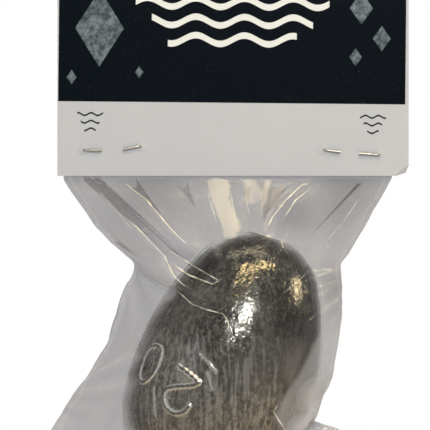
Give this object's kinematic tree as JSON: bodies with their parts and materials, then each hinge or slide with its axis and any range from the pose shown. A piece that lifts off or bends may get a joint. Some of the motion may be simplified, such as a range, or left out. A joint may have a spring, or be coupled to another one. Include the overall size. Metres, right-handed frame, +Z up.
{
  "type": "fishing sinker in a hang pack",
  "caption": "Cast lead bean sinker with a line bore, loose in a clear film bag stapled into a folded header card with a hang hole.",
  "frame": {"origin": "centre of the hang hole, midway through the folded card", "axes": "+Z up the pack towards the fold, +Y to the back of the card (the printed front faces -Y), +X to the viewer's right"},
  "size_m": [0.0793, 0.0422, 0.141],
  "materials": {
    "board": "coated board, navy print over white",
    "staple_wire": "drawn wire",
    "film": "clear, slightly hazy film",
    "lead": "cast lead, dull grey with bright wrinkles"
  },
  "bodies": {
    "header": {"header_card": "board", "staple_left": "staple_wire", "staple_right": "staple_wire", "bag_mouth": "film"},
    "bag": {"bag_front_film": "film", "bag_back_film": "film"},
    "sinker": {"sinker": "lead"}
  },
  "joints": [
    {"name": "bag_swing", "type": "hinge", "parent": "header", "child": "bag", "pos_m": [0, 0, -0.04745], "axis": [1, 0, 0], "range_deg": [-45, 45]},
    {"name": "sinker_turn", "type": "hinge", "parent": "bag", "child": "sinker", "pos_m": [-0.0012, 0, -0.0892], "axis": [0.3173, 0, 0.9483], "continuous": true}
  ]
}
